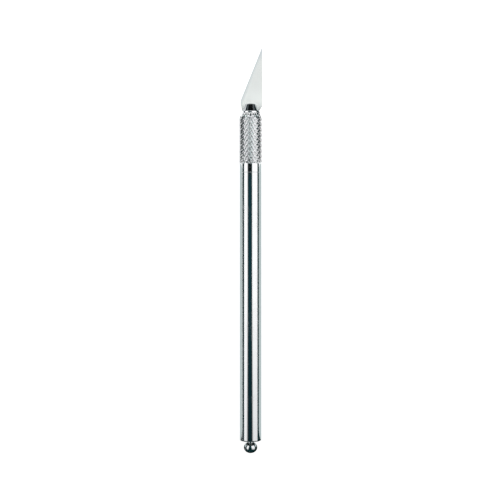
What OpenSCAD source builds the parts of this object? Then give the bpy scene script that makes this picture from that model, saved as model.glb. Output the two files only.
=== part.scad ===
// Slim craft knife with a rear blade release.
// A split collet grips the blade. A rod through the barrel draws the collet back into the cone of a
// knurled nose sleeve, and the ball knob at the rear end turns the screw that pulls the rod.
// The knife lies on its side: +Y runs along the axis to the blade tip and +Z is up. The blade lies flat.
// Lengths are in millimetres. Axial places are counted from the seam of sleeve and barrel, and forward
// is positive.

/* [Barrel] */
// Outside diameter of the barrel and of the plain band in front of it
barrel_d = 6.35; // [5.9:0.05:7.5]
// Length of the barrel from the seam to its rear face
barrel_len = 79; // [65:0.5:110]
// Diameter of the bore through the sleeve and the barrel
bore_d = 4.2; // [4.1:0.05:4.6]
// Rounding of the rear outer edge
end_round = 0.4; // [0.3:0.05:1.2]
// Broken edge on each side of the seam and at the bore mouths
edge_break = 0.08; // [0.04:0.01:0.15]

/* [Nose sleeve] */
// Length of the sleeve from the seam to its front lip
sleeve_len = 18; // [15:0.5:22]
// Length of the plain band behind the knurl
band_len = 2.6; // [1.5:0.1:5]
// Outside diameter of the smooth front lip
lip_d = 5.44; // [5.3:0.02:5.8]
// Length of the smooth front lip
lip_len = 0.5; // [0.3:0.05:1]
// Length over which the knurl tapers down to the lip
taper_len = 1.4; // [0.8:0.1:2.5]
// Height of the knurl crests above the barrel
knurl_raise = 0.075; // [0:0.005:0.2]
// Depth of the knurl from crest to root
knurl_depth = 0.34; // [0.2:0.02:0.45]
// Pitch of the knurl across its grooves
knurl_pitch = 0.8; // [0.6:0.02:1.2]
// Angle of the knurl grooves to the axis
knurl_angle = 30; // [25:1:40]
// Diameter of the spigot that fits inside the barrel
spigot_d = 5.2; // [5:0.05:5.4]
// Least length of the spigot
spigot_min = 3; // [2:0.5:6]

/* [Collet] */
// Diameter of the conical seat at the mouth of the sleeve
mouth_d = 4.9; // [4.75:0.05:5.1]
// Half angle of the conical seat
seat_angle = 15; // [10:1:25]
// Length of the nose in front of the sleeve
nose_len = 2.2; // [1.5:0.1:4]
// Diameter of the nose at its tip
nose_tip_d = 3.1; // [2.4:0.1:4]
// Rounding of the edge of the nose tip
nose_round = 0.35; // [0.1:0.05:0.6]
// Depth by which the spring fingers are turned down
finger_relief = 0.1; // [0.05:0.01:0.15]
// Diameter of the cross hole at the root of the blade slot
slot_root_d = 1.1; // [0.8:0.1:1.6]
// Length of the solid tail behind the blade slot
tail_len = 9; // [8:0.5:14]

/* [Blade] */
// Length of the whole blade
blade_len = 40; // [38:0.5:44]
// Length of the blade in front of the sleeve
blade_out = 19.1; // [18.5:0.1:22]
// Thickness of the blade
blade_t = 0.5; // [0.4:0.05:0.7]
// Distance of the spine from the axis
spine_off = 3.43; // [3.1:0.02:3.6]
// Distance of the heel from the axis
heel_off = 2.95; // [2.6:0.05:3.1]
// Angle of the cutting edge to the spine
edge_angle = 21.9; // [21:0.1:28]
// Radius of the heel behind the cutting edge
heel_round = 3.2; // [1:0.1:3.5]
// Height of the heel above the mouth of the sleeve
heel_height = 2.1; // [1.4:0.1:2.2]
// Height of the spine shoulder above the mouth of the sleeve
spine_height = 1.6; // [1:0.1:3]
// Width of the ground bevel on each side
bevel_w = 0.9; // [0.5:0.05:1.4]
// Thickness left at the very edge
edge_land = 0.02; // [0.01:0.01:0.05]
// Width of the tang
tang_w = 3.8; // [3.2:0.05:3.9]
// Width of the slot in the tang
tang_slot_w = 1.8; // [1:0.1:2.2]
// Length of the slot in the tang
tang_slot_len = 8; // [4:0.5:10]
// Distance of the tang slot from the end of the tang
tang_slot_end = 5; // [3:0.5:8]
// Corner cut at the end of the tang
tang_corner = 0.6; // [0.2:0.1:1]

/* [Draw rod] */
// Diameter of the draw rod
rod_d = 3; // [2.8:0.1:3.6]
// Diameter of the stud that joins the rod to the collet
rod_stud_d = 2.4; // [1.8:0.1:2.6]
// Length of that stud
rod_stud_len = 4.5; // [3:0.5:6]
// Forward travel of rod and collet from closed to open
travel = 0.8; // [0.4:0.1:1.2]

/* [Release knob] */
// Diameter of the ball across the axis
ball_d = 3.95; // [3.4:0.05:5]
// Length of the ball along the axis, a little less than its diameter
ball_len = 3.36; // [3:0.02:4]
// Distance of the ball centre behind the barrel
ball_off = 2.07; // [1.4:0.01:2.5]
// Diameter of the neck in front of the ball
neck_d = 1.8; // [1.4:0.1:2.2]
// Diameter of the thrust collar that bears on the bush
collar_d = 3.3; // [2.8:0.1:3.6]
// Thickness of the thrust collar
collar_t = 0.4; // [0.3:0.05:0.6]
// Diameter of the journal in the bush
journal_d = 2.2; // [2.1:0.1:2.6]
// Diameter of the drive screw at the front of the knob
screw_d = 2; // [1.6:0.1:2]
// Length of the drive screw inside the rod
screw_grip = 8; // [5:0.5:14]

/* [Rear bush] */
// Length of the bush
bush_len = 5.5; // [4:0.5:9]
// Depth of the bush face behind the rear end of the barrel
bush_recess = 1; // [0.9:0.05:1.5]
// Chamfer on the outer ends of the bush
bush_chamfer = 0.2; // [0.1:0.05:0.35]
// Outside diameter of the retaining ring
ring_d = 3.5; // [3:0.1:3.8]
// Thickness of the retaining ring
ring_t = 0.4; // [0.3:0.05:0.6]
// Depth of the ring groove in the journal
groove_depth = 0.24; // [0.15:0.01:0.3]
// Opening of the retaining ring in degrees
ring_opening = 70; // [40:5:110]

/* [Key pin] */
// Diameter of the pin that keeps the collet from turning
key_d = 0.8; // [0.6:0.1:1]
// Depth of the keyway in the collet
key_depth = 0.45; // [0.3:0.05:0.6]

/* [Fits] */
// Radial gap of pieces that are pressed or screwed together
press_gap = 0.01; // [0.005:0.005:0.02]
// Radial gap of pieces that turn or slide
running_gap = 0.05; // [0.03:0.01:0.08]
// Gap on each face of the blade
blade_gap = 0.02; // [0.01:0.01:0.05]
// Gap at the end of a pin, a stud or a collar
end_gap = 0.05; // [0.03:0.01:0.1]

/* [Hidden] */
$fn = 96;

barrel_r = barrel_d / 2;
bore_r = bore_d / 2;
spigot_r = spigot_d / 2;
lip_r = lip_d / 2;
mouth_r = mouth_d / 2;
rod_r = rod_d / 2;
key_r = key_d / 2;

// Knurl: crest, counts of grooves and of half rows
knurl_crest_r = barrel_r + knurl_raise;
knurl_front = sleeve_len - lip_len;
knurl_len = knurl_front - band_len;
knurl_starts = round(2 * PI * knurl_crest_r * cos(knurl_angle) / knurl_pitch);
knurl_columns = 2 * knurl_starts;
knurl_rows = max(2, round(knurl_len / (knurl_pitch / sin(knurl_angle) / 2)));
knurl_step = knurl_len / knurl_rows;

// Collet: shank in the bore, cone on the seat, slot for the blade, keyway in the tail
shank_r = bore_r - running_gap;
cone_r = mouth_r - running_gap;
seat_len = (mouth_r - bore_r) / tan(seat_angle);
cone_len = (cone_r - shank_r) / tan(seat_angle);
nose_tip = sleeve_len + nose_len;
slot_w = blade_t + 2 * blade_gap;
tang_end = sleeve_len + blade_out - blade_len;
slot_root = tang_end - slot_root_d / 2;
collet_rear = slot_root - tail_len;
key_at = slot_root - slot_root_d - key_r;
keyway_w = key_d + 2 * running_gap;
spigot_len = max(spigot_min, key_r + end_gap + key_d - key_at);

// Knob: every place is counted from the rear end of the barrel
barrel_rear = -barrel_len;
bush_rear = barrel_rear + bush_recess;
bush_front = bush_rear + bush_len;
collar_front = bush_rear - end_gap;
collar_rear = collar_front - collar_t;
ball_at = barrel_rear - ball_off;
groove_rear = bush_front + end_gap;
ring_rear = groove_rear + end_gap / 2;
groove_front = ring_rear + ring_t + end_gap / 2;
journal_front = groove_front + ring_t;
rod_rear = journal_front + travel;
screw_front = rod_rear + screw_grip;
groove_r = journal_d / 2 - groove_depth;

// The knife lies on its knurl, and its length is centred
axis_height = max(barrel_r, knurl_crest_r);
blade_tip = sleeve_len + blade_out;
knife_rear = ball_at - ball_len / 2;
axis_shift = -(blade_tip + knife_rear) / 2;
cut = 1;

// Points of an arc about a centre
function arc(centre, r, from, to, steps = 10) =
    [for (k = [0:steps]) let (a = from + (to - from) * k / steps) centre + r * [cos(a), sin(a)]];

// Share of the taper that is climbed at a half row: 0 at the lip, 1 where the knurl is full
function taper_share(row) = min(1, row * knurl_step / taper_len);

// Radius of the knurl at a column and a half row: crests and roots alternate, and the last row runs out
function knurl_radius(column, row) =
    let (foot = lip_r - edge_break,
         share = taper_share(row),
         surface = foot + (knurl_crest_r - foot) * share,
         valley = (column + row) % 2 == 0 || row == knurl_rows)
    valley ? surface - knurl_depth * share : surface;

// Turns an upright piece to lie along +Y on its resting height
module lay() {
    translate([0, axis_shift, axis_height]) rotate([-90, 0, 0]) children();
}

// Solid of revolution from an outline of radius and axial place
module turned(outline) {
    rotate_extrude() polygon(outline);
}

// Cylinder between two axial places
module rod_between(r, from, to) {
    translate([0, 0, from]) cylinder(r = r, h = to - from);
}

// Bar with diamond points: each crest is the tip of a four-sided pyramid between crossing grooves
module knurled_bar() {
    points = [for (row = [0:knurl_rows], column = [0:knurl_columns - 1])
        let (angle = 360 * column / knurl_columns, r = knurl_radius(column, row))
        [r * cos(angle), r * sin(angle), knurl_front - row * knurl_step]];
    function at(column, row) = row * knurl_columns + (column + knurl_columns) % knurl_columns;
    // The diagonal of each cell runs along the groove, so it joins the two root corners
    cells = [for (row = [0:knurl_rows - 1], column = [0:knurl_columns - 1])
        each (column + row) % 2 == 0
        ? [[at(column, row), at(column + 1, row), at(column + 1, row + 1)],
           [at(column, row), at(column + 1, row + 1), at(column, row + 1)]]
        : [[at(column, row), at(column + 1, row), at(column, row + 1)],
           [at(column + 1, row), at(column + 1, row + 1), at(column, row + 1)]]];
    front = [for (column = [knurl_columns - 1:-1:0]) at(column, 0)];
    rear = [for (column = [0:knurl_columns - 1]) at(column, knurl_rows)];
    polyhedron(points, concat(cells, [front, rear]), convexity = 4);
}

// Knurled sleeve with the conical seat for the collet and a spigot for the barrel
module nose_sleeve() {
    band_r = barrel_r;
    color("gainsboro") lay() difference() {
        union() {
            knurled_bar();
            turned([[0, knurl_front], [lip_r, knurl_front], [lip_r, sleeve_len - edge_break],
                    [lip_r - edge_break, sleeve_len], [0, sleeve_len]]);
            turned([[0, -spigot_len], [spigot_r - press_gap - edge_break, -spigot_len],
                    [spigot_r - press_gap, edge_break - spigot_len], [spigot_r - press_gap, 0],
                    [band_r - edge_break, 0], [band_r, edge_break], [band_r, band_len], [0, band_len]]);
        }
        rod_between(bore_r, -spigot_len - cut, sleeve_len + cut);
        translate([0, 0, sleeve_len - seat_len])
            cylinder(r1 = bore_r, r2 = mouth_r + cut * tan(seat_angle), h = seat_len + cut);
        translate([0, 0, key_at]) rotate([90, 0, 0]) cylinder(r = key_r + press_gap, h = barrel_r);
    }
}

// Straight tube with a counterbore for the sleeve and a rounded rear end
module barrel() {
    counterbore_r = spigot_r;
    wall = barrel_r - bore_r;
    corner = min(end_round, wall - 2 * edge_break);
    rear_inner = bore_r + edge_break;
    color("silver") lay() rotate_extrude() difference() {
        polygon([[bore_r, barrel_rear + edge_break], [rear_inner, barrel_rear], [barrel_r, barrel_rear],
                 [barrel_r, -edge_break], [barrel_r - edge_break, 0], [counterbore_r, 0],
                 [counterbore_r, -spigot_len - end_gap], [bore_r, -spigot_len - end_gap]]);
        translate([barrel_r - corner, barrel_rear + corner]) difference() {
            translate([0, -corner - cut]) square([corner + cut, corner + cut]);
            circle(r = corner);
        }
    }
}

// Split collet: a nose and two spring fingers in one piece with a solid tail
module collet() {
    finger_r = shank_r - finger_relief;
    finger_front = sleeve_len - cone_len - 2 * edge_break;
    finger_rear = slot_root + slot_root_d;
    nose_r = nose_tip_d / 2;
    nose_slope = atan((cone_r - nose_r) / nose_len);
    round_at = [nose_r - nose_round, nose_tip - nose_round];
    color("dimgray") lay() difference() {
        turned(concat(
            [[0, collet_rear], [shank_r - edge_break, collet_rear], [shank_r, collet_rear + edge_break],
             [shank_r, finger_rear], [finger_r, finger_rear + finger_relief],
             [finger_r, finger_front - finger_relief], [shank_r, finger_front],
             [shank_r, sleeve_len - cone_len], [cone_r, sleeve_len]],
            arc(round_at, nose_round, nose_slope, 90, 6),
            [[0, nose_tip]]));
        translate([-barrel_d, -slot_w / 2, slot_root])
            cube([2 * barrel_d, slot_w, nose_tip - slot_root + cut]);
        translate([-barrel_d, 0, slot_root]) rotate([0, 90, 0]) cylinder(d = slot_root_d, h = 2 * barrel_d);
        rod_between(rod_stud_d / 2 + press_gap, collet_rear - cut, collet_rear + rod_stud_len + end_gap);
        translate([-keyway_w / 2, -shank_r - cut, key_at - keyway_w / 2 - travel])
            cube([keyway_w, key_depth + cut, keyway_w + travel]);
    }
}

// Pin across the spigot: its inner end runs in the keyway of the collet
module key_pin() {
    inner_r = shank_r - key_depth + end_gap;
    outer_r = spigot_r - press_gap - end_gap;
    color("slategray") lay() translate([0, -inner_r, key_at]) rotate([90, 0, 0])
        cylinder(r = key_r, h = outer_r - inner_r);
}

// Rod that joins the collet to the drive screw
module draw_rod() {
    stud_r = rod_stud_d / 2;
    stud_front = collet_rear + rod_stud_len;
    color("lightslategray") lay() difference() {
        turned([[0, rod_rear], [rod_r - edge_break, rod_rear], [rod_r, rod_rear + edge_break],
                [rod_r, collet_rear - edge_break], [rod_r - edge_break, collet_rear], [stud_r, collet_rear],
                [stud_r, stud_front - edge_break], [stud_r - edge_break, stud_front], [0, stud_front]]);
        rod_between(screw_d / 2 + running_gap, rod_rear - cut, screw_front + travel);
    }
}

// Bearing for the knob, pressed into the rear end of the barrel
module rear_bush() {
    outer_r = bore_r - press_gap;
    inner_r = journal_d / 2 + running_gap;
    color("darkkhaki") lay() turned([
        [inner_r, bush_rear + edge_break], [inner_r + edge_break, bush_rear],
        [outer_r - bush_chamfer, bush_rear], [outer_r, bush_rear + bush_chamfer],
        [outer_r, bush_front - bush_chamfer], [outer_r - bush_chamfer, bush_front],
        [inner_r + edge_break, bush_front], [inner_r, bush_front - edge_break]]);
}

// Open ring in the journal groove: it keeps the knob in the bush
module retaining_ring() {
    inner_r = groove_r + press_gap;
    color("gray") lay() rotate([0, 0, 90 + ring_opening / 2])
        rotate_extrude(angle = 360 - ring_opening)
            translate([inner_r, ring_rear]) square([ring_d / 2 - inner_r, ring_t]);
}

// Ball, neck, thrust collar, journal and drive screw turned in one piece
module release_knob() {
    journal_r = journal_d / 2;
    screw_r = screw_d / 2;
    color("dimgray") lay() {
        translate([0, 0, ball_at]) scale([1, 1, ball_len / ball_d]) sphere(d = ball_d);
        rod_between(neck_d / 2, ball_at, collar_front);
        turned([[0, collar_rear], [collar_d / 2, collar_rear], [collar_d / 2, collar_front],
                [journal_r, collar_front], [journal_r, groove_rear], [groove_r, groove_rear],
                [groove_r, groove_front], [journal_r, groove_front], [journal_r, journal_front],
                [screw_r, journal_front], [screw_r, screw_front - edge_break],
                [screw_r - edge_break, screw_front], [0, screw_front]]);
    }
}

// Flat outline of the blade: x across it, y along the axis
module blade_outline() {
    tip = [spine_off, blade_tip];
    tang = tang_w / 2;
    shoulder = mouth_r - 2 * running_gap;
    // The cutting edge would meet the line of the heel here
    edge_end = blade_tip - (spine_off + heel_off) / tan(edge_angle);
    heel_top = edge_end - heel_round * tan(edge_angle / 2);
    heel_centre = [heel_round - heel_off, heel_top];
    heel_foot = min(sleeve_len + heel_height, heel_top - edge_break);
    tang_top = sleeve_len - (shoulder - tang);
    difference() {
        polygon(concat(
            [tip, [spine_off, sleeve_len + spine_height], [shoulder, sleeve_len], [tang, tang_top],
             [tang, tang_end + tang_corner], [tang - tang_corner, tang_end],
             [tang_corner - tang, tang_end], [-tang, tang_end + tang_corner],
             [-tang, tang_top], [-shoulder, sleeve_len], [-heel_off, heel_foot]],
            arc(heel_centre, heel_round, 180, 180 - edge_angle, 6)));
        translate([0, tang_end + tang_slot_end]) {
            translate([-tang_slot_w / 2, tang_slot_w / 2])
                square([tang_slot_w, tang_slot_len - tang_slot_w]);
            for (end = [tang_slot_w / 2, tang_slot_len - tang_slot_w / 2])
                translate([0, end]) circle(d = tang_slot_w);
        }
    }
}

// Blade ground on both sides of its cutting edge
module blade() {
    half = blade_t / 2;
    land = edge_land / 2;
    slope = (half - land) / bevel_w;
    grind = blade_len;
    color("whitesmoke") lay() rotate([90, 0, 0]) difference() {
        linear_extrude(height = blade_t, center = true) blade_outline();
        for (side = [0, 1]) mirror([0, 0, side]) translate([spine_off, blade_tip, 0])
            rotate([0, 0, -edge_angle]) rotate([90, 0, 0]) translate([0, 0, -cut])
                linear_extrude(height = grind)
                    polygon([[-cut, land - slope * cut], [bevel_w, half],
                             [bevel_w, half + cut], [-cut, half + cut]]);
    }
}

blade();
collet();
draw_rod();
key_pin();
nose_sleeve();
barrel();
rear_bush();
retaining_ring();
release_knob();
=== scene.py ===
"""Looks of a slim craft knife with a rear blade release.

Every piece is turned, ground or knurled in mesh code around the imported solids, on their own axis: +Y runs along
the barrel to the blade tip, +Z is up, and the knife lies on its side. Sizes are in millimetres and are counted
from the seam of sleeve and barrel; the meshes are in metres.
"""

import math

import bmesh
import bpy
from mathutils import Matrix, Vector


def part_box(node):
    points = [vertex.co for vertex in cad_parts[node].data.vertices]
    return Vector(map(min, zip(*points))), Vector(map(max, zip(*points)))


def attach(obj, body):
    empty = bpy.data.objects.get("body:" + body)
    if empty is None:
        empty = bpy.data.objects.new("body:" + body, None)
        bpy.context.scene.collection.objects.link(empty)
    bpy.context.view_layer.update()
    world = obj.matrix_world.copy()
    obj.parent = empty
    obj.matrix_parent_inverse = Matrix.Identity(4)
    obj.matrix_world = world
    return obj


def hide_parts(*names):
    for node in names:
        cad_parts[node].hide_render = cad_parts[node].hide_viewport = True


bl_info = {
    "name": "Craft Knife",
    "version": (1, 0, 0),
    "blender": (4, 5, 0),
    "location": "View3D > Sidebar > Craft Knife",
    "description": "Builds a metal craft knife with a knurled nose sleeve and a rear release knob",
    "category": "Object",
}

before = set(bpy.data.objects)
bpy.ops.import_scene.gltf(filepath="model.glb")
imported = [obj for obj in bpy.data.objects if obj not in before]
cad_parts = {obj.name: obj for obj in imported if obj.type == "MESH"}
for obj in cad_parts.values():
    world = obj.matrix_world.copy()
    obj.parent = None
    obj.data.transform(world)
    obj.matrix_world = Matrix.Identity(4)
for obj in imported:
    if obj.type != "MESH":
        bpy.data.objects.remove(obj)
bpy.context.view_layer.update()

MM = 0.001
BARREL_LOW, BARREL_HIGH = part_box("barrel")
SEAM_Y = BARREL_HIGH.y
AXIS_Z = (BARREL_LOW.z + BARREL_HIGH.z) / 2


def place_of(point):
    """Axial place of a point, in millimetres in front of the seam."""
    return (point.y - SEAM_Y) / MM


BARREL_R = (BARREL_HIGH.x - BARREL_LOW.x) / 2 / MM
BARREL_REAR = place_of(BARREL_LOW)
BLADE_LOW, BLADE_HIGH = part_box("blade")
BLADE_END, BLADE_TIP = place_of(BLADE_LOW), place_of(BLADE_HIGH)
KNOB_REAR, KNOB_FRONT = map(place_of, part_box("release_knob"))
ROD_REAR, ROD_FRONT = map(place_of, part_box("draw_rod"))
COLLET_REAR, NOSE_TIP = map(place_of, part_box("collet"))
BUSH_REAR, BUSH_FRONT = map(place_of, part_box("rear_bush"))
RING_REAR, RING_FRONT = map(place_of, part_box("retaining_ring"))
PIN_LOW, PIN_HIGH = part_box("key_pin")

# Edges of the facets of one knurl diamond, as shares of its side: groove, flank, crest, and back again
DIAMOND_STEPS = (0.0, 0.16, 0.34, 0.5, 0.66, 0.84, 1.0)
# Height of the diamond over its distance from the groove, both as shares
DIAMOND_HEIGHTS = {0.0: 0.0, 0.16: 0.47, 0.34: 1.0, 0.5: 1.0}
# Mesh attribute of the sleeve: 0 in the grooves, 1 on the crests, 2 on the plain turned parts
KNURL_HEIGHT = "knurl_height"


class KnifeSizes(bpy.types.PropertyGroup):
    """Sizes of the knife that a maker would change."""
    sleeve_length: bpy.props.FloatProperty(
        name="Sleeve length", description="From the seam to the front lip, in millimetres", default=18.0)
    band_length: bpy.props.FloatProperty(
        name="Band length", description="Plain band behind the knurl, in millimetres", default=2.6)
    lip_radius: bpy.props.FloatProperty(
        name="Lip radius", description="Smooth front lip, in millimetres", default=2.72)
    knurl_crest: bpy.props.FloatProperty(
        name="Knurl crest", description="Radius over the knurl points, in millimetres", default=3.25)
    knurl_depth: bpy.props.FloatProperty(
        name="Knurl depth", description="From crest to groove, in millimetres", default=0.34)
    knurl_columns: bpy.props.IntProperty(
        name="Knurl columns", description="Columns of points around the sleeve", default=44)
    knurl_rows: bpy.props.IntProperty(
        name="Knurl half rows", description="Half rows of points along the sleeve", default=19)
    end_rounding: bpy.props.FloatProperty(
        name="End rounding", description="Rounding of the barrel's rear edge, in millimetres", default=0.4)
    ball_radius: bpy.props.FloatProperty(
        name="Ball radius", description="Across the axis, in millimetres", default=1.975)
    ball_half_length: bpy.props.FloatProperty(
        name="Ball half length", description="Along the axis, in millimetres", default=1.68)
    blade_thickness: bpy.props.FloatProperty(
        name="Blade thickness", description="Sheet of the blade, in millimetres", default=0.5)
    bevel_width: bpy.props.FloatProperty(
        name="Bevel width", description="Ground strip along the cutting edge, in millimetres", default=0.9)
    edge_angle: bpy.props.FloatProperty(
        name="Edge angle", description="Cutting edge against the spine",
        subtype="ANGLE", default=math.radians(21.9))


def metal_colour(name, description, default):
    """Colour property of one metal."""
    return bpy.props.FloatVectorProperty(
        name=name, description=description, subtype="COLOR", size=3, min=0, max=1, default=default)


class KnifeFinish(bpy.types.PropertyGroup):
    """Colours and polish of the metals."""
    aluminium: metal_colour("Aluminium", "Polished aluminium of barrel and sleeve", (0.86, 0.87, 0.88))
    dark_steel: metal_colour("Dark steel", "Polished steel of the collet", (0.50, 0.52, 0.54))
    chromed_steel: metal_colour("Chromed steel", "Bright plating of the ball knob", (0.76, 0.78, 0.79))
    blade_steel: metal_colour("Blade steel", "Ground steel of the blade", (0.81, 0.845, 0.83))
    rod_steel: metal_colour("Rod steel", "Drawn steel of the rod and the key pin", (0.60, 0.61, 0.62))
    brass: metal_colour("Brass", "Turned brass of the rear bush", (0.78, 0.60, 0.30))
    spring_steel: metal_colour("Spring steel", "Blued steel of the retaining ring", (0.30, 0.31, 0.34))
    polish: bpy.props.FloatProperty(
        name="Barrel roughness", description="Blur of the reflections in the barrel",
        min=0, max=1, default=0.11)


class KnifeStage(bpy.types.PropertyGroup):
    """Light, floor and camera."""
    camera_height: bpy.props.FloatProperty(
        name="Camera height", description="Above the floor", unit="LENGTH", default=0.30)
    picture_width: bpy.props.FloatProperty(
        name="Picture width", description="Width of the picture at the knife", unit="LENGTH", default=0.14765)
    softbox_light: bpy.props.FloatProperty(
        name="Softbox light", description="Radiance of the two softboxes", default=1.2)
    blade_light: bpy.props.FloatProperty(
        name="Blade card light", description="Radiance of the pale card above the blade", default=0.93)
    floor_white: bpy.props.FloatProperty(
        name="Floor white", description="Glow of the floor in the picture and in the metal", default=0.82)
    edge_grey: bpy.props.FloatProperty(
        name="Edge grey", description="Grey of the cards that the edges of the barrel reflect", default=0.63)


# Mesh tools

def rounded(corners, closed=False, run_in=0.05):
    """Outline of (place, radius) points whose corners (place, radius, rounding) become short arcs.

    A point is added a little way out from each arc, so that the long faces beside it stay flat in shading."""
    room_share, straight, arc_step = 0.48, math.radians(89), math.radians(14)
    points = []
    count = len(corners)
    for index, (place, radius, rounding) in enumerate(corners):
        here = Vector((place, radius))
        at_end = not closed and index in (0, count - 1)
        if at_end or rounding <= 0:
            points.append(here)
            continue
        back = Vector(corners[index - 1][:2]) - here
        ahead = Vector(corners[(index + 1) % count][:2]) - here
        room = room_share * min(back.length, ahead.length)
        back_way, ahead_way = back.normalized(), ahead.normalized()
        half = back_way.angle(ahead_way) / 2
        if half > straight:
            points.append(here)
            continue
        tangent = min(room, rounding / math.tan(half))
        radius_here = tangent * math.tan(half)
        centre = here + (back_way + ahead_way).normalized() * radius_here / math.sin(half)
        start, end = here + back_way * tangent, here + ahead_way * tangent
        steps = max(2, math.ceil((math.pi - 2 * half) / arc_step))
        if back.length > tangent + 4 * run_in:
            points.append(start + back_way * run_in)
        first, last = start - centre, end - centre
        sweep = first.angle_signed(last)
        for step in range(steps + 1):
            points.append(centre + Matrix.Rotation(-sweep * step / steps, 2) @ first)
        if ahead.length > tangent + 4 * run_in:
            points.append(end + ahead_way * run_in)
    return [(p.x, p.y) for p in points]


def spread(outline, longest, closed=False):
    """Outline with extra points, so that no run along it is longer than the given length."""
    points = []
    count = len(outline)
    for index, here in enumerate(outline):
        points.append(here)
        if index == count - 1 and not closed:
            break
        ahead = outline[(index + 1) % count]
        parts = math.ceil(math.dist(here, ahead) / longest)
        points += [tuple(h + (n - h) * k / parts for h, n in zip(here, ahead)) for k in range(1, parts)]
    return points


def on_axis(place, radius, angle):
    """Point at an axial place, a radius and an angle from straight up, in metres."""
    return Vector((radius * MM * math.sin(angle), SEAM_Y + place * MM, AXIS_Z + radius * MM * math.cos(angle)))


def even_angles(count):
    """Angles of an evenly divided circle."""
    return [math.tau * k / count for k in range(count)]


def bridge(mesh, one, two):
    """Adds the faces between two rings of points, of which one may be a single point."""
    count = max(len(one), len(two))
    for k in range(count):
        n = (k + 1) % count
        corners = (one[k % len(one)], one[n % len(one)], two[n % len(two)], two[k % len(two)])
        mesh.faces.new(list(dict.fromkeys(corners)))


def turn(mesh, outline, angles, closed=False):
    """Adds a turned surface to a bmesh: rings of points, or one point where the outline meets the axis."""
    rings = []
    for place, radius in outline:
        if radius < 1e-6:
            rings.append([mesh.verts.new(on_axis(place, 0, 0))])
        else:
            rings.append([mesh.verts.new(on_axis(place, radius, a)) for a in angles])
    for one, two in zip(rings, rings[1:] + rings[:1] if closed else rings[1:]):
        if len(one) > 1 or len(two) > 1:
            bridge(mesh, one, two)
    return rings


def thread_blank(outline, radius, step=0.05):
    """Outline with close points where it runs at the given radius, ready for a thread."""
    points = []
    for here, ahead in zip(outline, outline[1:]):
        straight = max(abs(here[1] - radius), abs(ahead[1] - radius)) < 1e-6
        points += spread([here, ahead], step)[:-1] if straight else [here]
    return points + outline[-1:]


def cut_thread(rings, angles, start, end, radius, lead=0.4, depth=0.2):
    """Moves a turned surface inwards along a right-hand helical groove that runs out at both ends."""
    axis = Vector((0, 0, AXIS_Z))
    root_share, flank_share = 0.12, 0.72
    for ring in rings:
        place = place_of(ring[0].co)
        across = math.hypot(ring[0].co.x, ring[0].co.z - AXIS_Z) / MM
        if abs(across - radius) > 1e-4 or not start < place < end:
            continue
        full = depth * min(1.0, (place - start) / lead, (end - place) / lead)
        for vert, angle in zip(ring, angles):
            flank = abs(2 * ((place / lead - angle / math.tau) % 1.0) - 1)
            cut = full * (1 - min(1.0, max(0.0, (flank - root_share) / flank_share)))
            middle = axis + Vector((0, vert.co.y, 0))
            vert.co = middle + (vert.co - middle) * (1 - cut / radius)


def to_data(name, mesh):
    """Mesh data from a bmesh with outward normals; the bmesh is freed."""
    bmesh.ops.recalc_face_normals(mesh, faces=mesh.faces)
    data = bpy.data.meshes.new(name)
    mesh.to_mesh(data)
    mesh.free()
    return data


def to_scene(name, data):
    """Object at the origin of the scene."""
    made = bpy.data.objects.new(name, data)
    bpy.context.collection.objects.link(made)
    return made


def evaluated(made):
    """Mesh data of an object with its modifiers applied."""
    bpy.context.view_layer.update()
    return bpy.data.meshes.new_from_object(made.evaluated_get(bpy.context.evaluated_depsgraph_get()))


def make_piece(name, mesh, material, sharp=30.0):
    """Object from a bmesh: smooth faces, sharp edges by angle, one material."""
    data = to_data(name, mesh)
    data.materials.append(material)
    for face in data.polygons:
        face.use_smooth = True
        face.material_index = 0
    data.set_sharp_from_angle(angle=math.radians(sharp))
    return to_scene(name, data)


def fit(piece, body, node):
    """The piece moves with its body and stands for its solid."""
    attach(piece, body)
    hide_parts(node)


def turned_piece(name, corners, material, longest, steps=96):
    """Hollow piece that is turned from one closed outline."""
    mesh = bmesh.new()
    turn(mesh, spread(rounded(corners, closed=True), longest, closed=True), even_angles(steps), closed=True)
    return make_piece(name, mesh, material)


def threaded_piece(name, outline, material, radius, start, end):
    """Turned piece with a thread of the given radius between two axial places."""
    mesh = bmesh.new()
    angles = even_angles(96)
    rings = turn(mesh, thread_blank(outline, radius), angles)
    cut_thread(rings, angles, start, end, radius)
    return make_piece(name, mesh, material)


def block(low, high):
    """Cutter: a box from a lowest to a highest corner, x and z in millimetres, y as an axial place."""
    mesh = bmesh.new()
    bmesh.ops.create_cube(mesh, size=1)
    for vert in mesh.verts:
        share = vert.co + Vector((0.5, 0.5, 0.5))
        x, y, z = (l + (h - l) * s for l, h, s in zip(low, high, share))
        vert.co = (x * MM, SEAM_Y + y * MM, AXIS_Z + z * MM)
    return mesh


def drill(place, radius, start, end, direction, steps=40):
    """Cutter: a round hole across the axis at an axial place."""
    mesh = bmesh.new()
    bmesh.ops.create_cone(mesh, cap_ends=True, segments=steps, radius1=radius * MM, radius2=radius * MM,
                          depth=(end - start) * MM)
    way = Vector(direction)
    move = Matrix.Translation(Vector((0, SEAM_Y + place * MM, AXIS_Z)) + way * (start + end) / 2 * MM)
    bmesh.ops.transform(mesh, matrix=move @ Vector((0, 0, 1)).rotation_difference(way).to_matrix().to_4x4(),
                        verts=mesh.verts)
    return mesh


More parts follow.
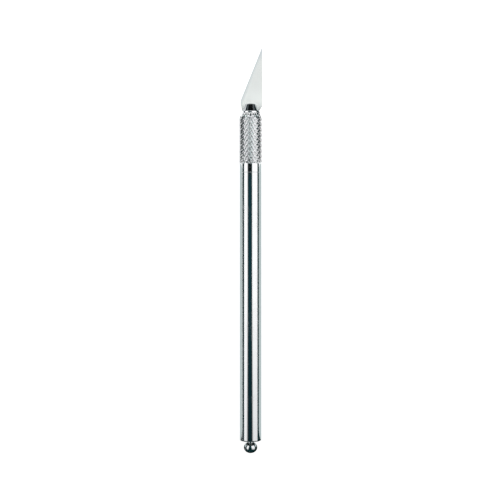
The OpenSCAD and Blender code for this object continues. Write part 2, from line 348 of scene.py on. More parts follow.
def cut_away(mesh, cutters):
    """Returns the bmesh with the cutters taken out of it."""
    blank = to_scene("blank", to_data("blank", mesh))
    tools = [to_scene("cutter", to_data("cutter", cutter)) for cutter in cutters]
    for tool in tools:
        modifier = blank.modifiers.new("Cut", "BOOLEAN")
        modifier.operation = "DIFFERENCE"
        modifier.solver = "EXACT"
        modifier.object = tool
    data = evaluated(blank)
    result = bmesh.new()
    result.from_mesh(data)
    bmesh.ops.remove_doubles(result, verts=result.verts, dist=1e-7)
    bmesh.ops.dissolve_degenerate(result, edges=result.edges, dist=1e-7)
    bpy.data.meshes.remove(data)
    for made in [blank] + tools:
        old = made.data
        bpy.data.objects.remove(made)
        bpy.data.meshes.remove(old)
    return result


# Node tools

class Nodes:
    """Short calls to place and join nodes in a tree."""

    def __init__(self, tree):
        self.tree = tree

    def add(self, kind, values=None, **settings):
        """New node with its settings; values are numbers or output sockets by input name or number."""
        made = self.tree.nodes.new(kind)
        for key, value in settings.items():
            setattr(made, key, value)
        for key, value in (values or {}).items():
            self.put(made.inputs[key], value)
        return made

    def put(self, socket, value):
        """Links an output to an input, or sets the input's own value."""
        if isinstance(value, bpy.types.NodeSocket):
            self.tree.links.new(value, socket)
        else:
            socket.default_value = value

    def math(self, operation, *terms):
        """Result of a math node."""
        return self.add("ShaderNodeMath", dict(enumerate(terms)), operation=operation).outputs[0]

    def ramp(self, value, low, high, to_low=0.0, to_high=1.0, smooth=False):
        """Value mapped from one range to another and kept inside it."""
        made = self.add("ShaderNodeMapRange", {0: value, 1: low, 2: high, 3: to_low, 4: to_high}, clamp=True)
        if smooth:
            made.interpolation_type = "SMOOTHSTEP"
        return made.outputs[0]

    def mix(self, share, one, two):
        """Colour between two colours."""
        made = self.add("ShaderNodeMix", data_type="RGBA")
        for key, value in ((0, share), (6, one), (7, two)):
            self.put(made.inputs[key], value)
        return made.outputs[2]


def new_group(name, kind, inputs, outputs):
    """Node group with named sockets: returns its tools, its input node and its output node."""
    tree = bpy.data.node_groups.new(name, kind)
    for label, socket, default in inputs:
        made = tree.interface.new_socket(label, in_out="INPUT", socket_type=socket)
        if default is not None:
            made.default_value = default
    for label, socket in outputs:
        tree.interface.new_socket(label, in_out="OUTPUT", socket_type=socket)
    return Nodes(tree), tree.nodes.new("NodeGroupInput"), tree.nodes.new("NodeGroupOutput")


NUMBER = "NodeSocketFloat"


def polishing_lines_group():
    """Fine rings left by turning and polishing: they change along the axis and fade around it."""
    n, given, out = new_group(
        "Polishing Lines", "ShaderNodeTree",
        [("Lines per Metre", NUMBER, 9000.0), ("Run Out", NUMBER, 120.0)],
        [("Lines", NUMBER), ("Waves", NUMBER)])
    place = n.add("ShaderNodeSeparateXYZ", {0: n.add("ShaderNodeTexCoord").outputs["Object"]})
    along = n.math("MULTIPLY", place.outputs[1], given.outputs["Lines per Metre"])
    round_x = n.math("MULTIPLY", place.outputs[0], given.outputs["Run Out"])
    round_z = n.math("MULTIPLY", place.outputs[2], given.outputs["Run Out"])
    spot = n.add("ShaderNodeCombineXYZ", {0: round_x, 1: along, 2: round_z}).outputs[0]
    lines = n.add("ShaderNodeTexNoise", {"Vector": spot, "Scale": 1.0, "Detail": 3.0, "Roughness": 0.6})
    slow = n.add("ShaderNodeCombineXYZ", {
        0: n.math("MULTIPLY", place.outputs[0], 260.0), 1: n.math("MULTIPLY", place.outputs[1], 90.0),
        2: n.math("MULTIPLY", place.outputs[2], 260.0)}).outputs[0]
    waves = n.add("ShaderNodeTexNoise", {"Vector": slow, "Scale": 1.0, "Detail": 1.5, "Roughness": 0.4})
    n.put(out.inputs["Lines"], lines.outputs["Fac"])
    n.put(out.inputs["Waves"], waves.outputs["Fac"])
    return n.tree


def handling_marks_group():
    """Finger smudges and hairline scratches from use."""
    n, given, out = new_group(
        "Handling Marks", "ShaderNodeTree",
        [("Smudge Size", NUMBER, 150.0), ("Scratch Size", NUMBER, 700.0)],
        [("Smudges", NUMBER), ("Scratches", NUMBER)])
    place = n.add("ShaderNodeTexCoord").outputs["Object"]
    smudge = n.add("ShaderNodeTexNoise", {"Vector": place, "Scale": given.outputs["Smudge Size"],
                                          "Detail": 4.0, "Roughness": 0.62, "Distortion": 0.6})
    shaped = n.ramp(smudge.outputs["Fac"], 0.48, 0.72, smooth=True)
    hair = []
    for turn_by, stretch in ((0.35, 0.05), (-0.6, 0.07)):
        turned = n.add("ShaderNodeMapping", {"Vector": place, "Rotation": (0.2, turn_by, turn_by),
                                             "Scale": (1.0, stretch, 1.0)})
        streak = n.add("ShaderNodeTexNoise", {"Vector": turned.outputs[0], "Scale": given.outputs["Scratch Size"],
                                              "Detail": 2.0, "Roughness": 0.5})
        near = n.math("ABSOLUTE", n.math("SUBTRACT", streak.outputs["Fac"], 0.5))
        hair.append(n.ramp(near, 0.0, 0.012, 1.0, 0.0))
    n.put(out.inputs["Smudges"], shaped)
    n.put(out.inputs["Scratches"], n.math("MULTIPLY", n.math("MAXIMUM", *hair), shaped))
    return n.tree


def radius_mask_group():
    """Share of the way from an inner to an outer radius about the axis: 0 inside, 1 outside."""
    n, given, out = new_group(
        "Radius Mask", "ShaderNodeTree",
        [("Inner Radius", NUMBER, 0.0029), ("Outer Radius", NUMBER, 0.0032)], [("Share", NUMBER)])
    place = n.add("ShaderNodeSeparateXYZ", {0: n.add("ShaderNodeTexCoord").outputs["Object"]})
    up = n.math("SUBTRACT", place.outputs[2], AXIS_Z)
    square = n.math("ADD", n.math("MULTIPLY", place.outputs[0], place.outputs[0]), n.math("MULTIPLY", up, up))
    n.put(out.inputs["Share"], n.ramp(n.math("SQRT", square), given.outputs["Inner Radius"],
                                      given.outputs["Outer Radius"]))
    return n.tree


def shared_group(name, maker):
    """The group of that name, made on first use."""
    return bpy.data.node_groups.get(name) or maker()


def new_metal(name):
    """Material with a metallic Principled shader: returns the material, its node tools and the shader."""
    material = bpy.data.materials.new(name)
    material.use_nodes = True
    n = Nodes(material.node_tree)
    shader = material.node_tree.nodes["Principled BSDF"]
    shader.inputs["Metallic"].default_value = 1.0
    return material, n, shader


def place_group(n, name, maker, **values):
    """Puts a shared group into a material with its own values."""
    made = n.add("ShaderNodeGroup", node_tree=shared_group(name, maker))
    for key, value in values.items():
        made.inputs[key.replace("_", " ")].default_value = value
    return made


def colour(rgb, factor=1.0):
    """Colour with full alpha, made lighter or darker by a factor."""
    return tuple(min(1.0, c * factor) for c in rgb) + (1.0,)


def dress(n, shader, tone, fine, height, strength):
    """Joins colour, roughness and a fine relief to the shader."""
    bump = n.add("ShaderNodeBump", {"Strength": strength, "Distance": 0.00002, "Height": height})
    for name, value in (("Base Color", tone), ("Roughness", fine), ("Normal", bump.outputs[0])):
        n.put(shader.inputs[name], value)


def turned_metal(name, base, rough, lines=9000.0, groove=0.05, smudge=0.06, tint=0.92, mask=None):
    """Metal with polishing lines, smudges and hairline scratches; a mask (inner, outer) dulls the metal inside."""
    material, n, shader = new_metal(name)
    ring = place_group(n, "Polishing Lines", polishing_lines_group, Lines_per_Metre=lines)
    marks = place_group(n, "Handling Marks", handling_marks_group)
    tone = n.mix(ring.outputs["Lines"], colour(base, tint), colour(base))
    tone = n.mix(n.math("MULTIPLY", marks.outputs["Smudges"], 0.35), tone, colour(base, tint * 0.96))
    fine = n.math("MULTIPLY_ADD", ring.outputs["Lines"], 0.06, rough - 0.03)
    fine = n.math("MULTIPLY_ADD", marks.outputs["Smudges"], smudge, fine)
    fine = n.math("MULTIPLY_ADD", marks.outputs["Scratches"], 0.12, fine)
    if mask:
        share = place_group(n, "Radius Mask", radius_mask_group,
                            Inner_Radius=mask[0] * MM, Outer_Radius=mask[1] * MM).outputs["Share"]
        tone = n.mix(share, colour(base, 0.62), tone)
        fine = n.math("MULTIPLY_ADD", n.math("SUBTRACT", 1.0, share), 0.25, fine)
    height = n.math("MULTIPLY_ADD", ring.outputs["Waves"], 3.0, ring.outputs["Lines"])
    dress(n, shader, tone, fine, height, groove)
    return material


def blade_metal(base, tip, edge_way, bevel_width):
    """Ground steel: lines across the flat, lines square to the edge on the bevel, and painted shade: a bevel that
    darkens and turns bluer towards the edge, and a darker, bluer tip.
    """
    # Colours of the painted shade at the cutting edge, on the bevel and at the tip
    painted_edge_shade, painted_bevel_shade, painted_tip_shade = (0.66, 0.72, 0.73), (0.80, 0.84, 0.83), (0.60, 0.66, 0.70)
    flat_lines, edge_lines = 14000.0, 16000.0
    material, n, shader = new_metal("ground_steel")
    place = n.add("ShaderNodeTexCoord").outputs["Object"]
    marks = place_group(n, "Handling Marks", handling_marks_group, Smudge_Size=260.0)
    spot = n.add("ShaderNodeVectorMath", {0: place, 1: tip}, operation="SUBTRACT").outputs["Vector"]
    across = Vector((-edge_way.y, edge_way.x, 0.0))
    from_edge = n.add("ShaderNodeVectorMath", {0: spot, 1: across}, operation="DOT_PRODUCT").outputs["Value"]
    along = n.add("ShaderNodeVectorMath", {0: spot, 1: edge_way}, operation="DOT_PRODUCT").outputs["Value"]
    back = n.add("ShaderNodeSeparateXYZ", {0: spot}).outputs[1]
    bevel = n.ramp(from_edge, bevel_width * MM * 0.97, bevel_width * MM * 1.03, 1.0, 0.0)
    flat_spot = n.add("ShaderNodeMapping", {"Vector": spot, "Scale": (500.0, flat_lines, 500.0),
                                            "Rotation": (0.0, 0.0, 0.06)}).outputs[0]
    flat = n.add("ShaderNodeTexNoise", {"Vector": flat_spot, "Scale": 1.0, "Detail": 3.0, "Roughness": 0.6})
    edge_spot = n.add("ShaderNodeCombineXYZ", {0: n.math("MULTIPLY", along, edge_lines),
                                               1: n.math("MULTIPLY", from_edge, 600.0)}).outputs[0]
    edge = n.add("ShaderNodeTexNoise", {"Vector": edge_spot, "Scale": 1.0, "Detail": 2.0, "Roughness": 0.6})
    lines = n.math("ADD", n.math("MULTIPLY", edge.outputs["Fac"], bevel),
                   n.math("MULTIPLY", flat.outputs["Fac"], n.math("SUBTRACT", 1.0, bevel)))
    cloud = n.add("ShaderNodeTexNoise", {"Vector": place, "Scale": 320.0, "Detail": 3.0, "Roughness": 0.55})
    tone = n.mix(lines, colour(base, 0.95), colour(base, 1.03))
    tone = n.mix(n.ramp(cloud.outputs["Fac"], 0.45, 0.75, 0.0, 0.3), tone, colour(base, 0.95))
    # Painted shade: the bevel darkens and turns bluer towards the cutting edge
    ground = n.mix(n.ramp(from_edge, 0.0, bevel_width * MM), colour(painted_edge_shade), colour(painted_bevel_shade))
    tone = n.mix(bevel, tone, ground)
    # Painted shade: darker and bluer within the last five millimetres before the tip
    tone = n.mix(n.ramp(back, -0.005, -0.0006, 0.0, 0.6, smooth=True), tone, colour(painted_tip_shade))
    fine = n.math("MULTIPLY_ADD", lines, 0.05, 0.10)
    fine = n.math("MULTIPLY_ADD", marks.outputs["Smudges"], 0.04, fine)
    dress(n, shader, tone, fine, lines, 0.08)
    return material


def knurled_metal(base):
    """Aluminium of the sleeve: smoother crests, grooves a little darker as painted shade, polished plain parts."""
    material, n, shader = new_metal("knurled_aluminium")
    ring = place_group(n, "Polishing Lines", polishing_lines_group)
    marks = place_group(n, "Handling Marks", handling_marks_group, Smudge_Size=420.0)
    height = n.add("ShaderNodeAttribute", attribute_name=KNURL_HEIGHT).outputs["Fac"]
    plain = n.ramp(height, 1.05, 1.5)
    grain = n.add("ShaderNodeTexNoise", {"Vector": n.add("ShaderNodeTexCoord").outputs["Object"],
                                         "Scale": 4200.0, "Detail": 2.0})
    # Painted shade: the grooves are a tenth darker than the crests
    tone = n.mix(n.ramp(height, 0.0, 0.3), colour(base, 0.9), colour(base))
    tone = n.mix(n.math("MULTIPLY", marks.outputs["Smudges"], 0.25), tone, colour(base, 0.82))
    fine = n.ramp(height, 0.8, 1.0, 0.10, 0.08)
    fine = n.math("MULTIPLY_ADD", plain, -0.02, fine)
    fine = n.math("MULTIPLY_ADD", grain.outputs["Fac"], 0.04, fine)
    relief = n.math("MULTIPLY_ADD", grain.outputs["Fac"], n.math("SUBTRACT", 1.0, plain), ring.outputs["Lines"])
    dress(n, shader, tone, fine, relief, 0.05)
    return material


# Knurl

def diamond_tile():
    """One knurl diamond, unrolled: x counts columns, y counts half rows, z is the share of the knurl's height."""
    mesh = bmesh.new()
    last = len(DIAMOND_STEPS) - 1
    grid = {}
    for i, p in enumerate(DIAMOND_STEPS):
        for j, q in enumerate(DIAMOND_STEPS):
            nearest = min(round(min(s, 1 - s), 6) for s in (p, q))
            grid[i, j] = mesh.verts.new((p - q, p + q - 1, DIAMOND_HEIGHTS[nearest]))
    for i in range(last):
        for j in range(last):
            low, right, top, left = grid[i, j], grid[i + 1, j], grid[i + 1, j + 1], grid[i, j + 1]
            if i + j == last - 1:
                mesh.faces.new((low, right, left))
                mesh.faces.new((right, top, left))
            elif i == j:
                mesh.faces.new((low, right, top))
                mesh.faces.new((low, top, left))
            else:
                mesh.faces.new((low, right, top, left))
    return to_data("knurl_diamond", mesh)


def knurl_tree():
    """Tree that repeats the diamond over the sleeve, rolls it round the axis and fades it into the lip."""
    whole, shape = "NodeSocketInt", "NodeSocketGeometry"
    n, given, out = new_group(
        "Diamond Knurl", "GeometryNodeTree",
        [("Diamond", shape, None), ("Columns", whole, 44), ("Half Rows", whole, 19),
         ("Row Step", NUMBER, 0.0008), ("Front", NUMBER, 0.04), ("Foot Radius", NUMBER, 0.0026),
         ("Crest Radius", NUMBER, 0.00325), ("Rear Radius", NUMBER, 0.0031), ("Depth", NUMBER, 0.00034),
         ("Taper", NUMBER, 0.0014), ("Material", "NodeSocketMaterial", None)],
        [("Sleeve Skin", shape)])
    get = given.outputs
    number = n.add("GeometryNodeInputIndex").outputs[0]
    column = n.math("MODULO", number, get["Columns"])
    row = n.math("FLOOR", n.math("DIVIDE", number, get["Columns"]))
    spots = n.add("GeometryNodePoints", {
        "Count": n.math("MULTIPLY", get["Columns"], n.math("ADD", get["Half Rows"], 1.0)),
        "Position": n.add("ShaderNodeCombineXYZ", {0: column, 1: n.math("MULTIPLY", row, -1.0)}).outputs[0]})
    here = n.add("ShaderNodeSeparateXYZ", {0: n.add("GeometryNodeInputPosition").outputs[0]}).outputs
    odd = n.math("MODULO", n.math("SUBTRACT", here[0], here[1]), 2.0)
    crests = n.add("GeometryNodeDeleteGeometry", {0: spots.outputs[0], 1: n.math("LESS_THAN", odd, 0.5)},
                   domain="POINT")
    placed = n.add("GeometryNodeInstanceOnPoints", {"Points": crests.outputs[0], "Instance": get["Diamond"]})
    solid = n.add("GeometryNodeRealizeInstances", {0: placed.outputs[0]})
    past_rear = n.math("LESS_THAN", n.math("ADD", here[1], get["Half Rows"]), -0.001)
    beyond = n.math("MAXIMUM", n.math("GREATER_THAN", here[1], 0.001), past_rear)
    trimmed = n.add("GeometryNodeDeleteGeometry", {0: solid.outputs[0], 1: beyond}, domain="FACE")
    joined = n.add("GeometryNodeMergeByDistance", {"Geometry": trimmed.outputs[0], "Distance": 0.001})
    angle = n.math("DIVIDE", n.math("MULTIPLY", here[0], math.tau), get["Columns"])
    back = n.math("MULTIPLY", here[1], n.math("MULTIPLY", get["Row Step"], -1.0))
    share = n.ramp(back, 0.0, get["Taper"])
    rise = n.math("SUBTRACT", get["Crest Radius"], get["Foot Radius"])
    surface = n.math("MULTIPLY_ADD", rise, share, get["Foot Radius"])
    left = n.math("SUBTRACT", n.math("MULTIPLY", get["Row Step"], get["Half Rows"]), back)
    surface = n.math("MINIMUM", surface, n.math("MULTIPLY_ADD", left, 0.6, get["Rear Radius"]))
    low = n.math("MULTIPLY", n.math("MULTIPLY", get["Depth"], share), n.math("SUBTRACT", 1.0, here[2]))
    radius = n.math("SUBTRACT", surface, low)
    rolled = n.add("ShaderNodeCombineXYZ", {
        0: n.math("MULTIPLY", radius, n.math("SINE", angle)),
        1: n.math("SUBTRACT", get["Front"], back),
        2: n.math("MULTIPLY_ADD", radius, n.math("COSINE", angle), AXIS_Z)}).outputs[0]
    noted = n.add("GeometryNodeStoreNamedAttribute", {
        "Geometry": joined.outputs[0], "Name": KNURL_HEIGHT, "Value": here[2]}, domain="POINT")
    wrapped = n.add("GeometryNodeSetPosition", {"Geometry": noted.outputs[0], "Position": rolled})
    closed = n.add("GeometryNodeMergeByDistance", {"Geometry": wrapped.outputs[0], "Distance": 1e-6})
    plain = n.add("GeometryNodeRealizeInstances", {0: closed.outputs[0]})
    painted = n.add("GeometryNodeSetMaterial", {"Geometry": plain.outputs[0], "Material": get["Material"]})
    n.put(out.inputs[0], painted.outputs[0])
    return n.tree


def run_tree(data, tree, values):
    """Mesh that a Geometry Nodes tree makes from a start mesh and values by input name."""
    start = to_scene("start", data)
    modifier = start.modifiers.new("Build", "NODES")
    modifier.node_group = tree
    for item in tree.interface.items_tree:
        if item.item_type == "SOCKET" and item.in_out == "INPUT" and item.name in values:
            modifier[item.identifier] = values[item.name]
    made = evaluated(start)
    bpy.data.objects.remove(start)
    bpy.data.meshes.remove(data)
    if not made.polygons:
        raise RuntimeError("the tree made no faces: " + tree.name)
    return made


def open_ring(mesh, place):
    """Points of an open edge at an axial place, in order of their angle."""
    found = {v for e in mesh.edges if e.is_boundary for v in e.verts
             if abs(v.co.y - SEAM_Y - place * MM) < 1e-6}
    return sorted(found, key=lambda v: math.atan2(v.co.x, v.co.z - AXIS_Z))


# Operators

class KnifePiece:
    """What the operators of the pieces share."""
    bl_options = {"REGISTER", "UNDO"}

    def execute(self, context):
        """Builds the piece; a failure raises an error."""
        scene = context.scene
        self.build(scene.knife_sizes, scene.knife_finish)
        return {"FINISHED"}


class KNIFE_OT_barrel(KnifePiece, bpy.types.Operator):
    """Turns the polished barrel tube with its rounded rear end"""
    bl_idname = "craft_knife.barrel"
    bl_label = "Barrel"

    def build(self, sizes, finish):
        bore, counterbore, spigot_end = 2.1, 2.6, -6.25
        corners = [
            (0.0, BARREL_R, 0.08), (BARREL_REAR, BARREL_R, sizes.end_rounding), (BARREL_REAR, bore, 0.12),
            (spigot_end, bore, 0.04), (spigot_end, counterbore, 0.04), (0.0, counterbore, 0.05)]
        metal = turned_metal("polished_aluminium", finish.aluminium, finish.polish, mask=(2.6, 2.75))
        piece = turned_piece("polished_barrel", corners, metal, longest=5.0, steps=176)
        fit(piece, "handle", "barrel")


class KNIFE_OT_sleeve(KnifePiece, bpy.types.Operator):
    """Knurls the nose sleeve and turns its lip, band, spigot, bore and conical seat"""
    bl_idname = "craft_knife.sleeve"
    bl_label = "Nose sleeve"

    def build(self, sizes, finish):
        lip_end, spigot_r, spigot_end, bore, taper = 0.5, 2.59, -6.2, 2.1, 1.4
        key_at, key_hole = -4.95, 0.41
        foot_step, rear_step, chamfer = 0.08, 0.06, 0.03
        foot = sizes.lip_radius - foot_step
        front = sizes.sleeve_length - lip_end
        length = front - sizes.band_length
        seat_r, seat_angle = 2.45, math.radians(15)
        seat_end = sizes.sleeve_length - (seat_r - bore) / math.tan(seat_angle)
        rear_r = BARREL_R - rear_step
        metal = knurled_metal(finish.aluminium)
        skin = run_tree(diamond_tile(), knurl_tree(), {
            "Columns": sizes.knurl_columns, "Half Rows": sizes.knurl_rows,
            "Row Step": length / sizes.knurl_rows * MM, "Front": SEAM_Y + front * MM, "Foot Radius": foot * MM,
            "Crest Radius": sizes.knurl_crest * MM, "Rear Radius": rear_r * MM,
            "Depth": sizes.knurl_depth * MM, "Taper": taper * MM, "Material": metal})
        mesh = bmesh.new()
        mesh.from_mesh(skin)
        bpy.data.meshes.remove(skin)
        rear_ring = open_ring(mesh, sizes.band_length)
        front_ring = open_ring(mesh, front)
        angles = [math.atan2(v.co.x, v.co.z - AXIS_Z) for v in rear_ring]
        corners = [
            (sizes.band_length, BARREL_R - chamfer, 0), (sizes.band_length - chamfer, BARREL_R, 0.03),
            (0.0, BARREL_R, 0.08), (0.0, spigot_r, 0.03), (spigot_end, spigot_r, 0.08), (spigot_end, bore, 0.08),
            (seat_end, bore, 0.1), (sizes.sleeve_length, seat_r, 0.05),
            (sizes.sleeve_length, sizes.lip_radius, 0.09), (front, sizes.lip_radius, 0.04), (front, foot, 0)]
        rings = turn(mesh, spread(rounded(corners), 3.0), angles)
        height = mesh.verts.layers.float[KNURL_HEIGHT]
        for ring in rings:
            for vert in ring:
                vert[height] = 2.0
        for one, two in ((rear_ring, rings[0]), (front_ring, rings[-1])):
            if len(one) != len(two):
                raise RuntimeError("the knurl's open edge doesn't meet the turned part")
        bridge(mesh, rear_ring, rings[0])
        bmesh.ops.remove_doubles(mesh, verts=mesh.verts, dist=2e-6)
        mesh = cut_away(mesh, [drill(key_at, key_hole, 1.0, 3.0, (0, 0, 1))])
        piece = make_piece("knurled_sleeve", mesh, metal, sharp=24.0)
        fit(piece, "handle", "nose_sleeve")


class KNIFE_OT_collet(KnifePiece, bpy.types.Operator):
    """Turns the collet and cuts its blade slot, cross hole and keyway"""
    bl_idname = "craft_knife.collet"
    bl_label = "Split collet"

    def build(self, sizes, finish):
        shank, finger, cone, tip_r, stud = 2.05, 1.95, 2.4, 1.55, 1.21
        mouth = sizes.sleeve_length
        cone_start, stud_end = mouth - 1.306, COLLET_REAR + 4.55
        cross_r, key_half, key_floor = 0.55, 0.45, 1.6
        key_rear, key_front = -6.2, -4.5
        slot_root, step = BLADE_END - cross_r, 0.1
        finger_rear, finger_front = slot_root + 1.2, cone_start - 0.26
        corners = [
            (stud_end, 0.0, 0), (stud_end, stud, 0.05), (COLLET_REAR, stud, 0.05),
            (COLLET_REAR, shank, 0.08), (finger_rear - step, shank, 0.06), (finger_rear, finger, 0.06),
            (finger_front, finger, 0.06), (finger_front + step, shank, 0.06), (cone_start, shank, 0.1),
            (mouth, cone, 0.05), (NOSE_TIP, tip_r, 0.35), (NOSE_TIP, 0.0, 0)]
        mesh = bmesh.new()
        turn(mesh, spread(rounded(corners), 2.5), even_angles(128))
        clearance, beyond = 0.02, 4
        half_slot = sizes.blade_thickness / 2 + clearance
        mesh = cut_away(mesh, [
            block((-beyond, slot_root, -half_slot), (beyond, NOSE_TIP + 1, half_slot)),
            drill(slot_root, cross_r, -beyond, beyond, (1, 0, 0)),
            block((-key_half, key_rear, key_floor), (key_half, key_front, 3))])
        metal = turned_metal("dark_polished_steel", finish.dark_steel, 0.07, lines=12000.0, groove=0.03)
        piece = make_piece("split_collet", mesh, metal, sharp=28.0)
        fit(piece, "carriage", "collet")


class KNIFE_OT_blade(KnifePiece, bpy.types.Operator):
    """Stamps the blade outline with its tang slot and grinds the cutting edge on both sides"""
    bl_idname = "craft_knife.blade"
    bl_label = "Ground blade"

    def build(self, sizes, finish):
        spine, heel, heel_round = BLADE_HIGH.x / MM, BLADE_LOW.x / MM, 3.2
        mouth, shoulder, tang, corner = sizes.sleeve_length, 2.35, 1.9, 0.6
        spine_foot, heel_foot = mouth + 1.6, mouth + 2.1
        slot_r, slot_front, slot_rear = 0.9, BLADE_END + 12.1, BLADE_END + 5.9
        angle = sizes.edge_angle
        edge_end = BLADE_TIP - (spine - heel) / math.tan(angle)
        heel_top = edge_end - heel_round * math.tan(angle / 2)
        outline = [
            (spine, BLADE_TIP), (spine, spine_foot), (shoulder, mouth), (tang, mouth - (shoulder - tang)),
            (tang, BLADE_END + corner), (tang - corner, BLADE_END), (corner - tang, BLADE_END),
            (-tang, BLADE_END + corner), (-tang, mouth - (shoulder - tang)), (-shoulder, mouth),
            (heel, heel_foot)]
        heel_steps, slot_steps = 12, 16
        for step in range(heel_steps + 1):
            way = math.pi - angle * step / heel_steps
            outline.append((heel + heel_round + heel_round * math.cos(way), heel_top + heel_round * math.sin(way)))
        slot = []
        for centre, start in ((slot_front, 0.0), (slot_rear, math.pi)):
            turns = [start + math.pi * k / slot_steps for k in range(slot_steps + 1)]
            slot += [(slot_r * math.cos(t), centre + slot_r * math.sin(t)) for t in turns]
        half = sizes.blade_thickness / 2
        mesh = bmesh.new()
        loops = [[mesh.verts.new((x * MM, SEAM_Y + y * MM, AXIS_Z - half * MM)) for x, y in line]
                 for line in (outline, slot)]
        edges = [mesh.edges.new(pair) for loop in loops for pair in zip(loop, loop[1:] + loop[:1])]
        bmesh.ops.triangle_fill(mesh, use_beauty=True, use_dissolve=False, edges=edges)
        # Not extruded by bmesh, whose order of faces changes from run to run
        raised = {v: mesh.verts.new(v.co + Vector((0, 0, 2 * half * MM))) for v in list(mesh.verts)}
        for face in list(mesh.faces):
            mesh.faces.new([raised[v] for v in face.verts])
        for loop in loops:
            bridge(mesh, loop, [raised[v] for v in loop])
        bmesh.ops.recalc_face_normals(mesh, faces=mesh.faces)
        tip = Vector((spine * MM, SEAM_Y + BLADE_TIP * MM, AXIS_Z))
        edge_way = Vector((-math.sin(angle), -math.cos(angle), 0))
        outward = Vector((-math.cos(angle), math.sin(angle), 0))
        land = 0.01
        slope = math.atan2(half - land, sizes.bevel_width)
        for side in (1, -1):
            normal = outward * math.sin(slope) + Vector((0, 0, side * math.cos(slope)))
            cut = bmesh.ops.bisect_plane(
                mesh, geom=mesh.verts[:] + mesh.edges[:] + mesh.faces[:], dist=1e-8,
                plane_co=tip + Vector((0, 0, side * land * MM)), plane_no=normal, clear_outer=True)
            rim = [e for e in cut["geom_cut"] if isinstance(e, bmesh.types.BMEdge)]
            bmesh.ops.contextual_create(mesh, geom=rim)
        bmesh.ops.remove_doubles(mesh, verts=mesh.verts, dist=1e-7)
        metal = blade_metal(finish.blade_steel, tip, edge_way, sizes.bevel_width)
        piece = make_piece("ground_blade", mesh, metal, sharp=8.0)
        fit(piece, "blade", "blade")


class KNIFE_OT_knob(KnifePiece, bpy.types.Operator):
    """Turns the ball knob with its neck, thrust collar, journal and drive screw"""
    bl_idname = "craft_knife.knob"
    bl_label = "Release knob"

    def build(self, sizes, finish):
        radius, half = sizes.ball_radius, sizes.ball_half_length
        centre, neck, screw, steps = KNOB_REAR + half, 0.9, 1.0, 40
        last = math.pi - math.asin(neck / radius)
        turns = [last * k / steps for k in range(steps + 1)]
        ball = [(centre - half * math.cos(t), radius * math.sin(t)) for t in turns]
        collar, journal, groove = 1.65, 1.1, 0.86
        collar_rear, collar_front = BUSH_REAR - 0.45, BUSH_REAR - 0.05
        groove_rear, groove_front, journal_front = BUSH_FRONT + 0.05, BUSH_FRONT + 0.5, BUSH_FRONT + 0.9
        corners = [
            ball[-1] + (0,), (collar_rear, neck, 0.06), (collar_rear, collar, 0.06), (collar_front, collar, 0.06),
            (collar_front, journal, 0.04), (groove_rear, journal, 0.03), (groove_rear, groove, 0.03),
            (groove_front, groove, 0.03), (groove_front, journal, 0.03), (journal_front, journal, 0.06),
            (journal_front, screw, 0.03), (KNOB_FRONT, screw, 0.12), (KNOB_FRONT, 0.0, 0)]
        metal = turned_metal("chromed_steel", finish.chromed_steel, 0.06, lines=12000.0, groove=0.03)
        outline = ball + spread(rounded(corners), 2.5)[1:]
        piece = threaded_piece("ball_knob", outline, metal, screw, journal_front + 0.1, KNOB_FRONT)
        fit(piece, "knob", "release_knob")


class KNIFE_OT_draw_rod(KnifePiece, bpy.types.Operator):
    """Turns the draw rod with its threaded stud and its rear hole"""
    bl_idname = "craft_knife.draw_rod"
    bl_label = "Draw rod"

    def build(self, sizes, finish):
        shoulder, stud, hole, rod = COLLET_REAR, 1.2, 1.05, 1.5
        hole_end = KNOB_FRONT + 0.8
        corners = [
            (hole_end, 0.0, 0), (hole_end, hole, 0.1), (ROD_REAR, hole, 0.06), (ROD_REAR, rod, 0.08),
            (shoulder, rod, 0.08), (shoulder, stud, 0.04), (ROD_FRONT, stud, 0.08), (ROD_FRONT, 0.0, 0)]
        metal = turned_metal("drawn_rod_steel", finish.rod_steel, 0.28, lines=6000.0, groove=0.1)
        outline = spread(rounded(corners), 4.0)
        piece = threaded_piece("steel_draw_rod", outline, metal, stud, shoulder + 0.1, ROD_FRONT)
        fit(piece, "carriage", "draw_rod")


